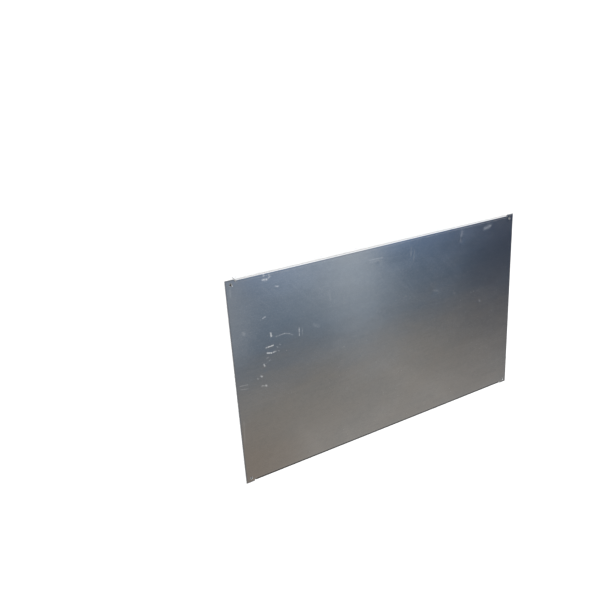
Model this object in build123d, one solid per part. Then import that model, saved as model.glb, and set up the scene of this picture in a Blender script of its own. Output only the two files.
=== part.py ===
from build123d import *
import os

os.makedirs("parts", exist_ok=True)

# Sheet, in millimetres: X runs along the plate, Y across it, Z up out of its front face
plate_length = 950.0
plate_width = 560.0
sheet_thickness = 2.0

# Folds along both long edges, bent back square, with a flat tab left at each corner
flange_depth = 22.0
inside_bend_radius = 2.0
corner_tab_length = 25.0
flange_corner_radius = 3.0

# Relief slits that part each fold from its corner tabs
relief_width = 3.0
relief_past_bend = 2.0

# Fixing holes, one in each corner tab
hole_diameter = 7.0
hole_from_end = 15.0
hole_from_side = 12.0

# Rounding that the shear and the punch leave on the front side of each cut edge
cut_edge_rounding = 0.3

# Sizes that follow from those above
outside_bend_radius = inside_bend_radius + sheet_thickness
bend_line_y = plate_width / 2 - outside_bend_radius
fold_length = plate_length - 2 * (corner_tab_length + relief_width)
relief_depth = outside_bend_radius + relief_past_bend


def corner_holes():
    """The four fixing holes, as discs in their places."""
    spacing_x = plate_length - 2 * hole_from_end
    spacing_y = plate_width - 2 * hole_from_side
    return GridLocations(spacing_x, spacing_y, 2, 2) * Circle(hole_diameter / 2)


def relief_slits():
    """The four slits, open to the long edges and round at their inner ends."""
    slit_round = relief_width / 2
    straight_length = relief_depth - slit_round
    straight = Pos(0, -straight_length / 2) * Rectangle(relief_width, straight_length)
    slit = straight + Pos(0, -straight_length) * Circle(slit_round)
    slit_x = fold_length / 2 + slit_round
    upper = [Pos(x, plate_width / 2) * slit for x in (-slit_x, slit_x)]
    lower = [Pos(x, -plate_width / 2) * Rot(0, 0, 180) * slit for x in (-slit_x, slit_x)]
    return upper + lower


def flat_sheet():
    """The web and its corner tabs, cut back to the bend lines where the folds start."""
    outline = Rectangle(plate_length, plate_width)
    for side in (-1, 1):
        fold_middle_y = side * (bend_line_y + outside_bend_radius / 2)
        outline -= Pos(0, fold_middle_y) * Rectangle(fold_length, outside_bend_radius)
    outline -= relief_slits()
    outline -= corner_holes()
    return Pos(0, 0, flange_depth - sheet_thickness) * extrude(outline, sheet_thickness)


def fold():
    """The bend and the flange along the +Y edge, one section drawn out to its length."""
    across = Plane.YZ.offset(-fold_length / 2)
    bend_centre_z = flange_depth - outside_bend_radius
    with BuildSketch(across) as section:
        with BuildLine():
            Polyline(
                (plate_width / 2, bend_centre_z),
                (plate_width / 2, 0),
                (plate_width / 2 - sheet_thickness, 0),
                (plate_width / 2 - sheet_thickness, bend_centre_z),
            )
            CenterArc((bend_line_y, bend_centre_z), inside_bend_radius, 0, 90)
            Line((bend_line_y, flange_depth - sheet_thickness), (bend_line_y, flange_depth))
            CenterArc((bend_line_y, bend_centre_z), outside_bend_radius, 0, 90)
        make_face()
    leg = extrude(section.sketch, fold_length)
    free_corners = leg.edges().filter_by(Axis.Y).group_by(Axis.Z)[0]
    return fillet(free_corners, flange_corner_radius)


def round_front_edges(sheet):
    """Round every cut edge of the front side; the bend lines run on smoothly and stay as they are."""
    front = sheet.faces().sort_by(Axis.Z)[-1]
    bend_lines = front.edges().filter_by(Axis.X).filter_by_position(Axis.Y, -bend_line_y, bend_line_y)
    return fillet(front.edges() - bend_lines, cut_edge_rounding)


upper_fold = fold()
lower_fold = mirror(upper_fold, about=Plane.XZ)
mounting_plate = flat_sheet() + upper_fold + lower_fold
mounting_plate = round_front_edges(mounting_plate)

export_step(mounting_plate, "parts/mounting_plate.step")
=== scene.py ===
import math

import bpy
import numpy as np
from mathutils import Matrix, Vector
from mathutils.geometry import delaunay_2d_cdt


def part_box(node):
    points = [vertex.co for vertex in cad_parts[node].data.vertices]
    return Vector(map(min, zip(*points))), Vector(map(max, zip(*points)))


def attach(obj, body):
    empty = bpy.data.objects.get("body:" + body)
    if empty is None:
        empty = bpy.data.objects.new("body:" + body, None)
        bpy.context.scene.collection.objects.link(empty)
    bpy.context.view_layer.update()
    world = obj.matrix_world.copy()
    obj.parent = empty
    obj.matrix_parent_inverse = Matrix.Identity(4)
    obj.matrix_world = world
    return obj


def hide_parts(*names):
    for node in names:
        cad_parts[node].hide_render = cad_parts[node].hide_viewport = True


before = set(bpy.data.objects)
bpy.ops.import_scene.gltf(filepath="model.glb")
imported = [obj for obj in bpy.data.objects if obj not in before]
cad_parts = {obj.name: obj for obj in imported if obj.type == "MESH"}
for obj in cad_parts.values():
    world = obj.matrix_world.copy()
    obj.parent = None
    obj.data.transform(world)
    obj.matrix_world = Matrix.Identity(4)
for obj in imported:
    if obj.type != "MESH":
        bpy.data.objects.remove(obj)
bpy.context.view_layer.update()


# The view
# The camera stands to the left of the plate, beyond its far long edge, and looks steeply down on
# it. It is turned about its own line of sight, so that the picture's upright is the plate's width.
camera_place = Vector((-1.0476, 0.7576, 1.3859))
aim_point = Vector((-0.2553, 0.1594, 0.0220))
camera_roll = math.radians(-117.67)
lens_length = 38.77
film_width = 36.0

line_of_sight = (aim_point - camera_place).normalized()
upright_turn = line_of_sight.to_track_quat("-Z", "Y").to_matrix()
camera_turn = Matrix.Rotation(camera_roll, 3, line_of_sight) @ upright_turn
camera_data = bpy.data.cameras.new("camera")
camera_data.lens = lens_length
camera_data.sensor_width = film_width
camera_data.clip_start = 0.01
camera = bpy.data.objects.new("camera", camera_data)
camera.matrix_world = Matrix.Translation(camera_place) @ camera_turn.to_4x4()
bpy.context.scene.collection.objects.link(camera)
bpy.context.scene.camera = camera


# The blank
# The plate starts as a flat sheet of zinc-coated steel. It is sheared to its outline, and the four
# fixing holes and the four relief slits are punched in it before it is folded.
MM = 0.001
low_corner, high_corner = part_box("mounting_plate")
half_length = (high_corner.x - low_corner.x) / 2
half_width = (high_corner.y - low_corner.y) / 2
face_height = high_corner.z
sheet_thickness = 2.0 * MM
outside_bend_radius = 4.0 * MM
corner_tab_length = 25.0 * MM
relief_width = 3.0 * MM
relief_past_bend = 2.0 * MM
flange_corner_radius = 3.0 * MM
hole_radius = 3.5 * MM
hole_from_end = 15.0 * MM
hole_from_side = 12.0 * MM
cut_edge_rounding = 0.3 * MM

bend_line = half_width - outside_bend_radius
bend_run = outside_bend_radius * math.pi / 2
flange_run = face_height - outside_bend_radius
blank_half_width = bend_line + bend_run + flange_run
slit_outer = half_length - corner_tab_length
slit_inner = slit_outer - relief_width
slit_round = relief_width / 2
slit_straight_end = half_width - (outside_bend_radius + relief_past_bend) + slit_round
hole_x = half_length - hole_from_end
hole_y = half_width - hole_from_side

grid_step = 4.6 * MM
bend_steps = 8
flange_steps = 4
rounding_steps = 3
slit_steps = 8
corner_steps = 6
hole_steps = 28
beside_edge = 0.8 * MM
least_spacing = 0.35 * MM


def arc(centre_x, centre_y, radius, start, end, steps):
    """Points along an arc, from one angle to the other, in degrees."""
    angles = [math.radians(start + (end - start) * k / steps) for k in range(steps + 1)]
    return [(centre_x + radius * math.cos(a), centre_y + radius * math.sin(a)) for a in angles]


def spread(start, end, step):
    """Evenly spaced values from start to end, about step apart, both ends included."""
    return np.linspace(start, end, max(1, round((end - start) / step)) + 1)


def blank_outline():
    """The blank's outline, one quarter drawn and then mirrored, counterclockwise."""
    slit_x = (slit_inner + slit_outer) / 2
    slit_end = arc(slit_x, slit_straight_end, slit_round, 0, -180, slit_steps)
    corner_x = slit_inner - flange_corner_radius
    corner_y = blank_half_width - flange_corner_radius
    free_corner = arc(corner_x, corner_y, flange_corner_radius, 0, 90, corner_steps)
    quarter = [(half_length, half_width), (slit_outer, half_width), *slit_end, *free_corner]
    upper_left = [(-x, y) for x, y in reversed(quarter)]
    lower_left = [(-x, -y) for x, y in quarter]
    lower_right = [(x, -y) for x, y in reversed(quarter)]
    return quarter + upper_left + lower_left + lower_right


def blank_holes(radius):
    """One ring of points for each fixing hole, at a radius about its middle."""
    corners = [(side_x, side_y) for side_x in (-1, 1) for side_y in (-1, 1)]
    return [arc(x * hole_x, y * hole_y, radius, 0, 360, hole_steps)[:-1] for x, y in corners]


def blank_grid():
    """Points inside the outline, so that the sheet can bend and wave between its edges."""
    tab = spread(slit_outer, half_length, grid_step)
    ends = [half_length - beside_edge, beside_edge - half_length]
    x_lines = np.concatenate([-tab[::-1], spread(-slit_inner, slit_inner, grid_step), tab, ends])
    web = spread(-bend_line, bend_line, grid_step)
    bend = np.linspace(bend_line, bend_line + bend_run, bend_steps + 1)[1:]
    flange = np.linspace(bend_line + bend_run, blank_half_width, flange_steps + 1)[1:]
    tab_sides = [half_width, half_width - beside_edge]
    free_edge = [blank_half_width - beside_edge]
    upper = np.concatenate([bend, flange, tab_sides, free_edge])
    y_lines = np.concatenate([web, upper, -upper])
    x, y = (lines.ravel() for lines in np.meshgrid(x_lines, y_lines))
    tiny = 0.01 * MM
    on_tab = (abs(x) > slit_outer - tiny) & (abs(y) < half_width + tiny)
    on_web = (abs(x) < slit_inner + tiny) & (abs(abs(y) - half_width) > tiny)
    keep = on_tab | on_web
    keep &= np.hypot(abs(x) - hole_x, abs(y) - hole_y) > hole_radius + 2 * beside_edge
    past_x = abs(x) - (slit_inner - flange_corner_radius)
    past_y = abs(y) - (blank_half_width - flange_corner_radius)
    at_corner = (past_x > 0) & (past_y > 0)
    keep &= ~(at_corner & (np.hypot(past_x, past_y) > flange_corner_radius - least_spacing))
    beside_holes = [ring for hole in blank_holes(hole_radius + beside_edge) for ring in hole]
    return np.vstack([np.column_stack([x, y])[keep], beside_holes])


def cut_blank():
    """Triangles of the flat blank between its cut edges, as points and index triples."""
    loops = [blank_outline(), *blank_holes(hole_radius)]
    cut_points, cut_lines = [], []
    for loop in loops:
        first = len(cut_points)
        cut_points += loop
        cut_lines += [(first + k, first + (k + 1) % len(loop)) for k in range(len(loop))]
    inner = blank_grid()
    clear = np.ones(len(inner), bool)
    for corner in np.array(cut_points):
        clear &= np.hypot(*(inner - corner).T) > least_spacing
    points = cut_points + [tuple(p) for p in inner[clear]]
    inside_only = 1
    closeness = 1e-7
    flat, _, faces, *_ = delaunay_2d_cdt(
        [Vector(p) for p in points], cut_lines, [], inside_only, closeness
    )
    flat = np.array([tuple(p) for p in flat])
    faces = np.array([tuple(f) for f in faces])
    middle = flat[faces].mean(axis=1)
    in_hole = np.hypot(abs(middle[:, 0]) - hole_x, abs(middle[:, 1]) - hole_y) < hole_radius * 0.98
    faces = faces[~in_hole]
    first_side = flat[faces[:, 1]] - flat[faces[:, 0]]
    second_side = flat[faces[:, 2]] - flat[faces[:, 0]]
    turned_down = first_side[:, 0] * second_side[:, 1] < first_side[:, 1] * second_side[:, 0]
    faces[turned_down] = faces[turned_down][:, ::-1]
    return flat, faces


def thicken(flat, faces):
    """The blank as a closed sheet: front, rounded and straight cut edges, and back."""
    sides = {(face[k], face[(k + 1) % 3]) for face in faces.tolist() for k in range(3)}
    rim = sorted((a, b) for a, b in sides if (b, a) not in sides)
    outward = np.zeros_like(flat)
    for a, b in rim:
        along = flat[b] - flat[a]
        normal = np.array([along[1], -along[0]]) / np.hypot(*along)
        outward[a] += normal
        outward[b] += normal
    on_rim = np.zeros(len(flat), bool)
    on_rim[[a for a, _ in rim]] = True
    outward[on_rim] *= 2 / (outward[on_rim] ** 2).sum(axis=1, keepdims=True)
    place_on_rim = {v: k for k, v in enumerate(np.flatnonzero(on_rim).tolist())}

    front = np.column_stack([flat, np.zeros(len(flat))])
    front[on_rim, :2] -= outward[on_rim] * cut_edge_rounding
    rings = []
    for step in range(1, rounding_steps + 1):
        angle = math.pi / 2 * step / rounding_steps
        inset = cut_edge_rounding * (1 - math.sin(angle))
        height = -cut_edge_rounding * (1 - math.cos(angle))
        ring = flat[on_rim] - outward[on_rim] * inset
        rings.append(np.column_stack([ring, np.full(len(ring), height)]))
    back = np.column_stack([flat, np.full(len(flat), -sheet_thickness)])
    vertices = np.vstack([front, *rings, back])

    back_start = len(vertices) - len(flat)
    levels = [{a: a for a, _ in rim}]
    for step in range(rounding_steps):
        ring_start = len(flat) + step * len(place_on_rim)
        levels.append({a: ring_start + place_on_rim[a] for a, _ in rim})
    levels.append({a: back_start + a for a, _ in rim})
    walls = [
        (upper[a], lower[a], lower[b], upper[b])
        for upper, lower in zip(levels, levels[1:]) for a, b in rim
    ]
    polygons = faces.tolist() + (faces[:, ::-1] + back_start).tolist() + walls
    sharp_lines = {frozenset((back_start + a, back_start + b)) for a, b in rim}
    return vertices, polygons, 2 * len(faces), sharp_lines


flat_points, flat_faces = cut_blank()
blank_vertices, blank_polygons, first_wall, back_corner_lines = thicken(flat_points, flat_faces)
blank_mesh = bpy.data.meshes.new("blank")
blank_mesh.from_pydata(blank_vertices.tolist(), [], blank_polygons)
blank_place = blank_mesh.attributes.new("blank", "FLOAT_VECTOR", "POINT")
blank_place.data.foreach_set("vector", blank_vertices.ravel())
is_cut = blank_mesh.attributes.new("cut_edge", "BOOLEAN", "FACE")
is_cut.data.foreach_set("value", np.arange(len(blank_polygons)) >= first_wall)
for edge in blank_mesh.edges:
    edge.use_edge_sharp = frozenset(edge.vertices) in back_corner_lines
for polygon in blank_mesh.polygons:
    polygon.use_smooth = True


# The zinc coating
# The steel strip is dipped in zinc and rolled smooth before it is cut. It has a fine spangle, faint
# streaks along the rolling, and the wipe marks, scuffs and scratches of stacking and carrying.
class Value:
    """A node's output that can be written in sums, so that an expression adds its Math nodes."""

    def __init__(self, tree, socket=None):
        self.tree = tree
        self.socket = socket

    def fill(self, node, **inputs):
        """Puts values or links into a node's sockets, given by name or, as _0, by number."""
        for name, value in inputs.items():
            socket = node.inputs[int(name[1:]) if name[0] == "_" else name.replace("_", " ")]
            if isinstance(value, Value):
                self.tree.links.new(value.socket, socket)
            else:
                socket.default_value = value

    def node(self, kind, settings=None, output=0, **inputs):
        """Any node of this tree: its settings first, then the values or links of its sockets."""
        made = self.tree.nodes.new(kind)
        for name, value in (settings or {}).items():
            setattr(made, name, value)
        self.fill(made, **inputs)
        return Value(self.tree, made.outputs[output])

    def math(self, operation, *values):
        """A Math node on numbers and other values."""
        inputs = {f"_{k}": value for k, value in enumerate(values)}
        return self.node("ShaderNodeMath", {"operation": operation}, **inputs)

    def vector(self, operation, *values, output="Vector"):
        """A Vector Math node on vectors."""
        inputs = {f"_{k}": value for k, value in enumerate(values)}
        return self.node("ShaderNodeVectorMath", {"operation": operation}, output, **inputs)

    def __add__(self, other):
        return self.math("ADD", self, other)

    def __radd__(self, other):
        return self.math("ADD", other, self)

    def __sub__(self, other):
        return self.math("SUBTRACT", self, other)

    def __rsub__(self, other):
        return self.math("SUBTRACT", other, self)

    def __mul__(self, other):
        return self.math("MULTIPLY", self, other)

    def __rmul__(self, other):
        return self.math("MULTIPLY", other, self)

    def __truediv__(self, other):
        return self.math("DIVIDE", self, other)

    def __pow__(self, other):
        return self.math("POWER", self, other)

    def __lt__(self, other):
        return self.math("LESS_THAN", self, other)

    def __abs__(self):
        return self.math("ABSOLUTE", self)

    def ramp(self, start, end):
        """0 at start to 1 at end, eased at both ends."""
        settings = {"interpolation_type": "SMOOTHSTEP"}
        return self.node("ShaderNodeMapRange", settings, Value=self, From_Min=start, From_Max=end)

    def split(self):
        """A vector's three numbers."""
        first = self.node("ShaderNodeSeparateXYZ", Vector=self)
        return [Value(self.tree, socket) for socket in first.socket.node.outputs]

    def blend(self, colour, other):
        """One colour at 0 to another at 1."""
        settings = {"data_type": "RGBA"}
        return self.node("ShaderNodeMix", settings, output=2, _0=self, _6=colour, _7=other)

    def cloud(self, other, seed, length, width, detail=2.0):
        """Noise about 0.5 over this place and another, in patches of a length and a width."""
        place = self.node("ShaderNodeCombineXYZ", X=self / length, Y=other / width, Z=seed)
        return self.node("ShaderNodeTexNoise", Vector=place, Scale=1.0, Detail=detail)

    def turned(self, other, degrees):
        """This place and another on axes turned by an angle."""
        cosine = math.cos(math.radians(degrees))
        sine = math.sin(math.radians(degrees))
        return self * cosine + other * sine, other * cosine - self * sine


# Scuffs and bright nicks: where each one starts and ends, in millimetres from the left end and from
# the upper long side of the face, how wide it is, and how much it shows
scuffs = [
    (102, 5, 103, 8, 4, 0.6),
    (116, 7, 117, 9, 4, 0.35),
    (99, 18, 110, 19, 4.5, 0.9),
    (116, 16, 119, 14, 4, 0.5),
    (132, 42, 140, 43.5, 3.5, 0.45),
    (90, 116, 97, 113, 2.5, 0.55),
    (108, 160, 109, 168, 4, 0.85),
    (122, 173, 134, 172, 2.4, 0.3),
    (134, 172, 146, 171, 2.4, 0.35),
    (146, 171, 160, 175, 2.4, 0.3),
    (160, 175, 170, 181, 2.4, 0.25),
    (190, 167, 189, 189, 1.8, 0.8),
    (199, 170, 198, 191, 1.5, 0.3),
    (92, 195, 112, 194, 3, 0.95),
    (94, 210, 105, 213, 3, 0.95),
    (105, 213, 118, 212, 2.6, 0.85),
    (122, 200, 125, 203, 2, 0.4),
    (130, 196, 133, 198, 2, 0.35),
    (125, 212, 128, 214, 2, 0.3),
    (90, 225, 96, 222, 1.6, 0.35),
    (96, 233, 101, 230, 1.6, 0.35),
    (88, 237, 93, 234, 1.6, 0.3),
    (82, 238, 84, 243, 3.4, 0.7),
    (71, 267, 74, 270, 3.4, 0.7),
    (60, 271, 63, 273, 3, 0.3),
    (71, 295, 84, 298, 3, 0.45),
    (82, 297, 84, 299, 4, 0.7),
    (11, 277, 32, 279, 2, 0.3),
    (12, 287, 32, 290, 2, 0.28),
    (11, 375, 8, 436, 1.6, 0.2),
    (12, 20, 11, 42, 2.5, 0.25),
    (835, 25, 856, 21, 10, 0.3),
    (745, 21, 742, 30, 9, 0.2),
    (740, 43, 741, 46, 7, 0.2),
    (414, 35, 461, 37, 2.4, 0.35),
    (421, 41, 450, 42, 2.4, 0.25),
    (558, 29, 556, 50, 5, 0.15),
    (570, 38, 565, 71, 4, 0.12),
    (820, 246, 825, 250, 3.5, 0.3),
    (717, 198, 722, 200, 4, 0.2),
    (640, 172, 656, 177, 4, 0.14),
    (530, 168, 538, 164, 4, 0.14),
    (286, 90, 289, 115, 3, 0.16),
    (34, 140, 36, 143, 7, 0.25),
    (236, 172, 248, 178, 8, 0.12),
]

# Broad faint wipes of a cloth, placed in the same way
wipes = [
    (174, 454, 227, 550, 34, 0.6),
    (456, 358, 610, 470, 44, 0.5),
    (655, 490, 705, 552, 36, 0.5),
    (318, 520, 340, 556, 30, 0.5),
    (300, 120, 306, 250, 30, 0.3),
]

# The press holds the sheet on two lips, and they leave a faint line on each side of a bend
die_half_opening = 8.0 * MM

# The back has a pattern of its own, made by moving every seed on by this much
back_seed = 11.0
micron = 1e-6

bright_zinc = (0.76, 0.765, 0.77, 1.0)
dull_zinc = (0.62, 0.64, 0.66, 1.0)
warm_zinc = (0.72, 0.70, 0.68, 1.0)
wiped_zinc = (0.82, 0.82, 0.82, 1.0)
# A darker zinc for the crazed bends, and for the free edges, where it is partly wear and partly
# painted shade
dark_zinc_for_wear_and_shade = (0.36, 0.37, 0.39, 1.0)
# A dark grey painted along the lower bend as shade
painted_shade_zinc = (0.14, 0.145, 0.15, 1.0)
scraped_zinc = (0.86, 0.865, 0.87, 1.0)

# Soft knocks in the sheet: place as above, radius and depth in millimetres
knocks = [
    (745, 44, 12, 0.08),
    (448, 50, 10, 0.07),
    (816, 244, 10, 0.09),
    (109, 168, 11, 0.07),
    (82, 250, 12, 0.08),
    (104, 202, 14, 0.12),
    (640, 170, 26, 0.10),
]


def on_blank(from_left, from_top):
    """A place on the face, given in millimetres from the left end and the upper long side."""
    return from_left * MM - half_length, half_width - from_top * MM


def soft_lines(place, rows):
    """How much the scuffs or wipes show at a place, each one a soft line between its ends."""
    shown = 0.0
    for start_x, start_y, end_x, end_y, width, strength in rows:
        first = Vector((*on_blank(start_x, start_y), 0))
        run = Vector((*on_blank(end_x, end_y), 0)) - first
        off = place.vector("SUBTRACT", place, first)
        share = place.vector("DOT_PRODUCT", off, run / run.length_squared, output="Value")
        share = place.node("ShaderNodeClamp", Value=share)
        along = {"operation": "SCALE"}
        nearest = place.node("ShaderNodeVectorMath", along, Vector=run, Scale=share)
        away = place.vector("DISTANCE", off, nearest, output="Value")
        shown = shown + away.ramp(width * MM, 0.0) * strength
    return shown


def hairlines(x, y, seed, angle, length, spacing, width, share):
    """Long thin scratches, each one where slow noise crosses its middle value, and broken up."""
    along, across = x.turned(y, angle)
    crossing = abs(along.cloud(across, seed, length, spacing, 1.0) - 0.5)
    there = along.cloud(across, seed + 3.7, length * 0.6, spacing * 0.8)
    there = there.ramp(1.0 - share, 1.06 - share)
    return crossing.ramp(width / spacing, 0.2 * width / spacing) * there


def zinc_coating():
    """A half mirror whose marks follow the blank, so that they run on round the folds."""
    material = bpy.data.materials.new("zinc_coating")
    material.use_nodes = True
    start = Value(material.node_tree)
    place = start.node("ShaderNodeAttribute", {"attribute_name": "blank"}, output="Vector")
    x, y, depth = place.split()
    side = (depth < -sheet_thickness / 2) * back_seed

    streak = x.cloud(y, side + 1.3, 0.30, 2.2 * MM).ramp(0.32, 0.68)
    brushing = x.cloud(y, side + 2.1, 30 * MM, 0.5 * MM).ramp(0.3, 0.7)
    haze = x.cloud(y, side + 4.7, 0.19, 0.12).ramp(0.38, 0.68)
    tint = x.cloud(y, side + 8.2, 0.13, 0.09).ramp(0.35, 0.65)
    ripple = x.cloud(y, side + 5.1, 7 * MM, 6 * MM, 1.0)
    cell_place = start.node("ShaderNodeCombineXYZ", X=x / (2.4 * MM), Y=y / (2.1 * MM), Z=side)
    cell = start.node("ShaderNodeTexVoronoi", output="Color", Vector=cell_place, Scale=1.0)
    spangle, *_ = cell.split()
    speck_place = start.node("ShaderNodeCombineXYZ", X=x / (9 * MM), Y=y / (9 * MM), Z=side + 2.5)
    speck = start.node("ShaderNodeTexVoronoi", Vector=speck_place, Scale=1.0)
    speck = speck.ramp(0.075, 0.04) * x.cloud(y, side + 6.6, 40 * MM, 40 * MM).ramp(0.52, 0.60)

    wipe_along, wipe_across = x.turned(y, -48)
    wipe = wipe_along.cloud(wipe_across, side + 3.4, 0.22, 6 * MM).ramp(0.45, 0.75) * haze
    scratch = (
        hairlines(x, y, side + 12.0, 7, 0.30, 26 * MM, 0.16 * MM, 0.40)
        + hairlines(x, y, side + 17.0, -31, 0.16, 38 * MM, 0.14 * MM, 0.38)
        + hairlines(x, y, side + 23.0, 84, 0.12, 45 * MM, 0.18 * MM, 0.36)
    )
    on_front = 1.0 - side / back_seed
    broken = 0.35 + 0.65 * x.cloud(y, 9.4, 4 * MM, 4 * MM).ramp(0.30, 0.56)
    scuff = soft_lines(place, scuffs) * on_front * broken
    wiped = soft_lines(place, wipes) * on_front

    past_bend = abs(y) - bend_line
    along_fold = abs(x) < slit_inner
    crazing = x.cloud(y, side + 7.7, 0.8 * MM, 3 * MM, 3.0).ramp(0.3, 0.7)
    crazing = crazing * past_bend.ramp(0.0, 1.2 * MM)
    crazing = crazing * past_bend.ramp(bend_run, bend_run - 1.2 * MM) * along_fold
    die_mark = abs(abs(past_bend - bend_run / 2) - die_half_opening).ramp(0.8 * MM, 0.2 * MM)
    die_mark = die_mark * along_fold * on_front
    from_long_edge = half_width - abs(y) + along_fold * (blank_half_width - half_width)
    from_edge = start.math("MINIMUM", half_length - abs(x), from_long_edge)
    patchy = 0.4 + 0.6 * x.cloud(y, side + 1.9, 14 * MM, 6 * MM).ramp(0.25, 0.55)
    # Along every free edge the zinc is rougher from rubbing. Its darker colour there is partly wear
    # and partly painted shade: a dark outline standing in for the shaded edges and the flange's
    # foot.
    edge_wear_and_shade = from_edge.ramp(4.5 * MM, 1.5 * MM) * patchy
    pressed = abs(past_bend + 0.9 * MM).ramp(1.7 * MM, 0.7 * MM) * along_fold * on_front
    # Painted shade: the lower bend, and the face within about two millimetres of it, are darkened
    # to stand in for the shade and dark reflection of the lower fold. The upper fold keeps its
    # light.
    painted_shade_lower_bend = (y + bend_line).ramp(2.6 * MM, 1.6 * MM) * (past_bend < bend_run)
    painted_shade_lower_bend = painted_shade_lower_bend * along_fold * on_front

    mottle = x.cloud(y, side + 9.1, 17 * MM, 13 * MM, 3.0)
    tone = 0.5 + (streak - 0.5) * 0.16 + (spangle - 0.5) * 0.3 + (haze - 0.5) * 0.3 - speck * 0.9
    tone = tone + (mottle - 0.5) * 0.7
    colour = tone.blend(dull_zinc, bright_zinc)
    colour = (tint * 0.35).blend(colour, warm_zinc)
    colour = (scratch * 0.08 + wipe * 0.08 + wiped * 0.4).blend(colour, wiped_zinc)
    # The darkened free edges here are partly painted shade
    colour = (crazing * 0.2 + edge_wear_and_shade * 0.75 + pressed * 0.4).blend(colour, dark_zinc_for_wear_and_shade)
    # Paints the shade along the lower bend
    colour = (painted_shade_lower_bend * 0.9).blend(colour, painted_shade_zinc)
    colour = scuff.blend(colour, scraped_zinc)
    roughness = (
        0.095 + haze * 0.02 + streak * 0.006 + spangle * 0.010 + wipe * 0.02 + speck * 0.2
        + scratch * 0.03 + scuff * 0.17 + crazing * 0.15 + die_mark * 0.12 + edge_wear_and_shade * 0.15
    )
    height = (
        ripple * (22 * micron) + brushing * micron - speck * (20 * micron)
        - die_mark * (15 * micron) + crazing * (10 * micron)
    )
    shader = material.node_tree.nodes["Principled BSDF"]
    normal = start.node("ShaderNodeBump", Height=height, Distance=1.0, Strength=1.0)
    metallic = 1.0 - scuff * 0.17
    start.fill(shader, Base_Color=colour, Roughness=roughness, Metallic=metallic, Normal=normal)
    return material


# The cut edges
# The shear and the punch leave a smooth band under the face and dark torn steel below it.
# The zinc is only smeared over the rounded corner, and the steel is bare underneath.
smooth_steel = (0.38, 0.375, 0.37, 1.0)
dragged_steel = (0.48, 0.47, 0.46, 1.0)
deep_torn_steel = (0.11, 0.108, 0.105, 1.0)
torn_steel = (0.20, 0.195, 0.19, 1.0)
smeared_zinc = (0.50, 0.51, 0.52, 1.0)


def cut_steel():
    """Bare steel of the sheared and punched edges, banded through the thickness."""
    material = bpy.data.materials.new("cut_steel")
    material.use_nodes = True
    start = Value(material.node_tree)
    place = start.node("ShaderNodeAttribute", {"attribute_name": "blank"}, output="Vector")
    x, y, depth = place.split()
    wander = x.cloud(y, 1.0, 6 * MM, 6 * MM, 3.0) - 0.5
    drag = x.cloud(y, 4.0, 0.35 * MM, 0.35 * MM, 1.0)
    torn = (depth + wander * 0.5 * MM).ramp(-0.75 * MM, -0.95 * MM)
    zinc = (depth + wander * 0.2 * MM).ramp(-0.35 * MM, -0.15 * MM)
    grit_place = start.node("ShaderNodeCombineXYZ", X=x, Y=y, Z=depth)
    grit = start.node("ShaderNodeTexNoise", Vector=grit_place, Scale=1 / (0.25 * MM), Detail=3.0)
    sheared = drag.ramp(0.3, 0.7).blend(smooth_steel, dragged_steel)
    broken = grit.ramp(0.3, 0.7).blend(deep_torn_steel, torn_steel)
    colour = zinc.blend(torn.blend(sheared, broken), smeared_zinc)
    roughness = 0.32 + torn * 0.28 + drag * 0.08 - zinc * 0.06
    height = drag * (1.0 - torn) * (8 * micron) + grit * torn * (40 * micron)
    shader = material.node_tree.nodes["Principled BSDF"]
    shader.inputs["Metallic"].default_value = 1.0
    normal = start.node("ShaderNodeBump", Height=height, Distance=1.0, Strength=1.0)
    start.fill(shader, Base_Color=colour, Roughness=roughness, Normal=normal)
    return material


# The fold
# Both long edges are bent back square in a press, and the flat tabs at the corners stay in the
# plane of the face. The sheet is a little wavy and knocked, and never stands above its true plane.
def fold_tree(finish_material, edge_material):
    """Geometry Nodes that wave and knock the flat blank and bend its long edges back."""
    tree = bpy.data.node_groups.new("fold_the_blank", "GeometryNodeTree")
    tree.interface.new_socket("Geometry", in_out="INPUT", socket_type="NodeSocketGeometry")
    tree.interface.new_socket("Geometry", in_out="OUTPUT", socket_type="NodeSocketGeometry")
    for name in fold_sizes:
        tree.interface.new_socket(name, in_out="INPUT", socket_type="NodeSocketFloat")
    given = tree.nodes.new("NodeGroupInput")
    take = {socket.name: Value(tree, socket) for socket in given.outputs if socket.name}
    start = Value(tree)
    x, across, depth = start.node("GeometryNodeInputPosition").split()

    past_line = start.math("MAXIMUM", abs(across) - take["Bend Line"], 0.0)
    past_line = past_line * (abs(x) < take["Fold Half Length"])
    angle = start.math("MINIMUM", past_line / take["Outside Radius"], math.pi / 2)
    down = start.math("MAXIMUM", past_line - take["Outside Radius"] * (math.pi / 2), 0.0)
    radius = take["Outside Radius"] + depth
    y = abs(across) - past_line + radius * start.math("SINE", angle)
    z = take["Face Height"] - take["Outside Radius"] + radius * start.math("COSINE", angle) - down

    from_middle = start.math("MINIMUM", abs(across) / take["Bend Line"], 1.0)
    wave = x.cloud(across, take["Seed"], take["Wave Length"], take["Wave Width"])
    wave = take["Wave Depth"] * wave
    sunk = wave * (1.0 - from_middle ** 6.0)
    for from_left, from_top, knock_radius, knock_depth in knocks:
        knock_x, knock_y = on_blank(from_left, from_top)
        away = ((x - knock_x) ** 2.0 + (across - knock_y) ** 2.0) ** 0.5
        sunk = sunk + away.ramp(knock_radius * MM, 0.0) * (knock_depth * MM)
    place = start.node("ShaderNodeCombineXYZ", X=x, Y=y * start.math("SIGN", across), Z=z - sunk)

    moved = start.node("GeometryNodeSetPosition", Geometry=take["Geometry"], Position=place)
    coated = start.node("GeometryNodeSetMaterial", Geometry=moved, Material=finish_material)
    cut = start.node("GeometryNodeInputNamedAttribute", {"data_type": "BOOLEAN"}, Name="cut_edge")
    edged = start.node(
        "GeometryNodeSetMaterial", Geometry=coated, Selection=cut, Material=edge_material
    )
    realized = start.node("GeometryNodeRealizeInstances", Geometry=edged)
    start.fill(tree.nodes.new("NodeGroupOutput"), _0=realized)
    return tree


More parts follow.
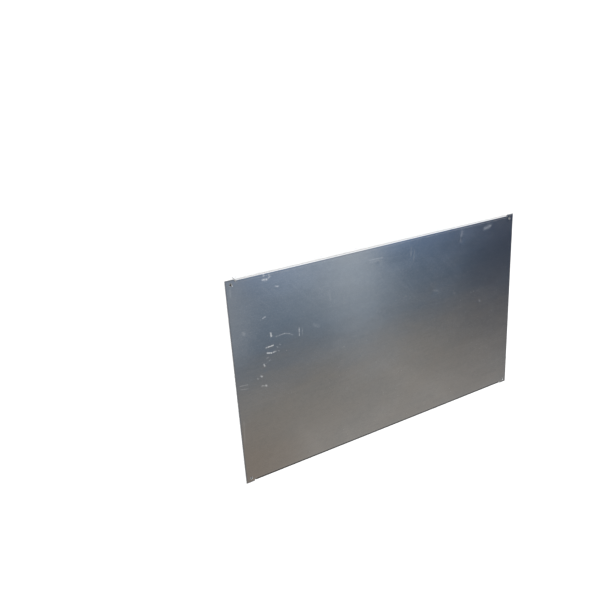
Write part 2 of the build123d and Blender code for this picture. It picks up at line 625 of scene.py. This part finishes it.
fold_sizes = {
    "Bend Line": bend_line,
    "Outside Radius": outside_bend_radius,
    "Fold Half Length": (slit_inner + slit_outer) / 2,
    "Face Height": face_height,
    "Wave Depth": 0.6 * MM,
    "Wave Length": 0.23,
    "Wave Width": 0.12,
    "Seed": 3.7,
}
blank = bpy.data.objects.new("blank", blank_mesh)
bpy.context.scene.collection.objects.link(blank)
fold = blank.modifiers.new("fold", "NODES")
fold.node_group = fold_tree(zinc_coating(), cut_steel())
for item in fold.node_group.interface.items_tree:
    if item.in_out == "INPUT" and item.name in fold_sizes:
        fold[item.identifier] = fold_sizes[item.name]
even_shading = blank.modifiers.new("even_shading", "WEIGHTED_NORMAL")
even_shading.mode = "FACE_AREA"
even_shading.weight = 100
even_shading.keep_sharp = True

depsgraph = bpy.context.evaluated_depsgraph_get()
folded = bpy.data.meshes.new_from_object(
    blank.evaluated_get(depsgraph), preserve_all_data_layers=True, depsgraph=depsgraph
)
bpy.data.objects.remove(blank)
plate = bpy.data.objects.new("folded_sheet", folded)
bpy.context.scene.collection.objects.link(plate)
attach(plate, "root")
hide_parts("mounting_plate")


# The studio
# A plain pale floor under one soft light and a dome of soft tones, which the coating mirrors: warm
# greys over the lower part of the plate, blues over the upper part, a dark screen to the right.
reach = 12.0
floor_mesh = bpy.data.meshes.new("floor")
floor_corners = [(-reach, -reach, 0), (reach, -reach, 0), (reach, reach, 0), (-reach, reach, 0)]
floor_mesh.from_pydata(floor_corners, [], [(0, 1, 2, 3)])
floor = bpy.data.objects.new("floor", floor_mesh)
bpy.context.scene.collection.objects.link(floor)
floor_paint = bpy.data.materials.new("floor_paint")
floor_paint.use_nodes = True
floor_shader = floor_paint.node_tree.nodes["Principled BSDF"]
floor_shader.inputs["Base Color"].default_value = (0.45, 0.45, 0.45, 1.0)
floor_shader.inputs["Roughness"].default_value = 0.8
floor_shader.inputs["Specular IOR Level"].default_value = 0.2
floor_mesh.materials.append(floor_paint)

soft_light = bpy.data.lights.new("soft_light", "SUN")
soft_light.energy = 9.0
soft_light.angle = math.radians(10)
soft_light_from = Vector((-0.76, 0.45, 1.0)).normalized()
light = bpy.data.objects.new("soft_light", soft_light)
light.matrix_world = soft_light_from.to_track_quat("Z", "Y").to_matrix().to_4x4()
bpy.context.scene.collection.objects.link(light)

world = bpy.data.worlds.new("studio_dome")
world.use_nodes = True
bpy.context.scene.world = world
start = Value(world.node_tree)
direction = start.node("ShaderNodeTexCoord", output="Generated")
right, ahead, up = direction.split()
# A ray meets a flat ceiling one unit up at p along the plate and q across it
height = start.math("MAXIMUM", up, 0.12)
p = right / height
q = ahead / height
beside = p + q * 0.094
slanted = q - p * 0.067

# The ceiling from the front backwards: warm greys, then blue-grey, then sky blue
front_left = (0.283, 0.206, 0.145, 1.0)
front_right = (0.389, 0.367, 0.341, 1.0)
tone = p.ramp(0.43, 0.60).blend(front_left, front_right)
tone = slanted.ramp(-0.935, -0.60).blend(tone, (0.260, 0.243, 0.221, 1.0))
tone = slanted.ramp(-0.66, -0.484).blend(tone, (0.112, 0.156, 0.214, 1.0))
tone = q.ramp(-0.427, -0.28).blend(tone, (0.272, 0.394, 0.645, 1.0))

# A grey corner at the near end, and the dark screen at the far end
near_end = p.ramp(0.48, 0.42) * q.ramp(-0.56, -0.42)
tone = near_end.blend(tone, (0.29, 0.32, 0.36, 1.0))
dark_screen = p.ramp(0.79, 1.10) * (q + p * 0.122).ramp(-0.85, -0.10)
tone = dark_screen.blend(tone, (0.043, 0.050, 0.074, 1.0))

# A pale strip between them, with one soft side and one sharp one
wide_sky = p.ramp(0.38, 0.66) * q.ramp(-0.564, -0.34) * 0.7
bright_sky = beside.ramp(0.567, 0.647) * q.ramp(-0.72, -0.45) * 0.3
sharp_side = beside.ramp(0.71, 0.685) * 0.5 + beside.ramp(0.80, 0.68) * 0.5
tone = ((wide_sky + bright_sky) * sharp_side).blend(tone, (0.433, 0.486, 0.541, 1.0))

# Plain grey everywhere else, darker low in front
within = p.ramp(0.20, 0.47) * p.ramp(1.9, 1.25) * q.ramp(-1.4, -0.9) * q.ramp(0.2, -0.22)
tone = (1.0 - within).blend(tone, (0.26, 0.27, 0.28, 1.0))
low_front = ahead.ramp(-0.35, -0.60) * up.ramp(0.56, 0.46)
tone = low_front.blend(tone, (0.13, 0.135, 0.14, 1.0))

# A white panel behind, which lights the upper fold, and a pale ring round the horizon
cut_corner = start.math("MINIMUM", p * 4.0 - 2.0, 0.0)
white_panel = p.ramp(0.22, 0.38) * (q + cut_corner).ramp(-0.29, -0.15) * up.ramp(0.38, 0.50)
panel_tone = q.ramp(0.70, 1.10).blend((1.65, 1.65, 1.65, 1.0), (0.75, 0.75, 0.75, 1.0))
tone = white_panel.blend(tone, panel_tone)
tone = up.ramp(0.25, 0.17).blend(tone, (1.2, 1.2, 1.2, 1.0))
start.fill(world.node_tree.nodes["Background"], Color=tone)
bpy.context.scene.view_settings.view_transform = "Standard"
